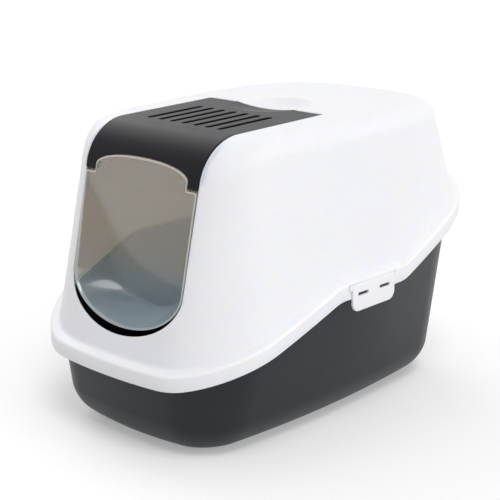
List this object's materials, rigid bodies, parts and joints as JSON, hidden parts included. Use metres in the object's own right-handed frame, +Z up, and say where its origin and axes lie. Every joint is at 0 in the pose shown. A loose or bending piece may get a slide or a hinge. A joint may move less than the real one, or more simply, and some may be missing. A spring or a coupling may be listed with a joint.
{
  "type": "hooded litter box",
  "caption": "Covered litter box: a deep tray under a lift-off hood with a flip-up vented visor, a swinging entrance flap and a hinged clip on each side.",
  "frame": {"origin": "on the floor under the middle of the box's length and width", "axes": "the front with the entrance faces -Y, +X is to the right of a viewer who faces the front, +Z is up"},
  "size_m": [0.39, 0.578, 0.3823],
  "materials": {
    "tray_plastic": "anthracite moulded plastic, satin",
    "hood_plastic": "white moulded plastic, satin gloss",
    "visor_plastic": "anthracite moulded plastic, satin",
    "flap_plastic": "clear smoke-tinted plastic",
    "clip_plastic": "white moulded plastic",
    "holder_plastic": "dark grey moulded plastic",
    "charcoal": "black charcoal fleece"
  },
  "bodies": {
    "tray": {"litter_tray": "tray_plastic"},
    "hood": {"hood_shell": "hood_plastic", "visor_socket_left": "hood_plastic", "visor_socket_right": "hood_plastic", "clip_lugs_left": "hood_plastic", "clip_lugs_right": "hood_plastic"},
    "visor": {"front_visor": "visor_plastic", "visor_knuckle_left": "visor_plastic", "visor_knuckle_right": "visor_plastic", "flap_bearing_left": "visor_plastic", "flap_bearing_right": "visor_plastic", "filter_lugs": "visor_plastic"},
    "flap": {"flap_door": "flap_plastic", "flap_pin_left": "flap_plastic", "flap_pin_right": "flap_plastic"},
    "clip_left": {"side_clip_left": "clip_plastic"},
    "clip_right": {"side_clip_right": "clip_plastic"},
    "filter": {"filter_holder": "holder_plastic", "carbon_filter": "charcoal"}
  },
  "joints": [
    {"name": "hood_lift", "type": "slide", "parent": "tray", "child": "hood", "axis": [0, 0, 1], "range_m": [0, 0.12]},
    {"name": "visor_hinge", "type": "hinge", "parent": "hood", "child": "visor", "pos_m": [0, -0.009, 0.3767], "axis": [-1, 0, 0], "range_deg": [0, 90]},
    {"name": "flap_swing", "type": "hinge", "parent": "visor", "child": "flap", "pos_m": [0, -0.21908, 0.32846], "axis": [-1, 0, 0], "range_deg": [-70, 70]},
    {"name": "clip_left_hinge", "type": "hinge", "parent": "hood", "child": "clip_left", "pos_m": [-0.1927, -0.0205, 0.1904], "axis": [0, 1, 0], "range_deg": [0, 90]},
    {"name": "clip_right_hinge", "type": "hinge", "parent": "hood", "child": "clip_right", "pos_m": [0.1927, -0.0205, 0.1904], "axis": [0, -1, 0], "range_deg": [0, 90]},
    {"name": "filter_hinge", "type": "hinge", "parent": "visor", "child": "filter", "pos_m": [0, -0.04938, 0.36982], "axis": [1, 0, 0], "range_deg": [0, 30]}
  ]
}
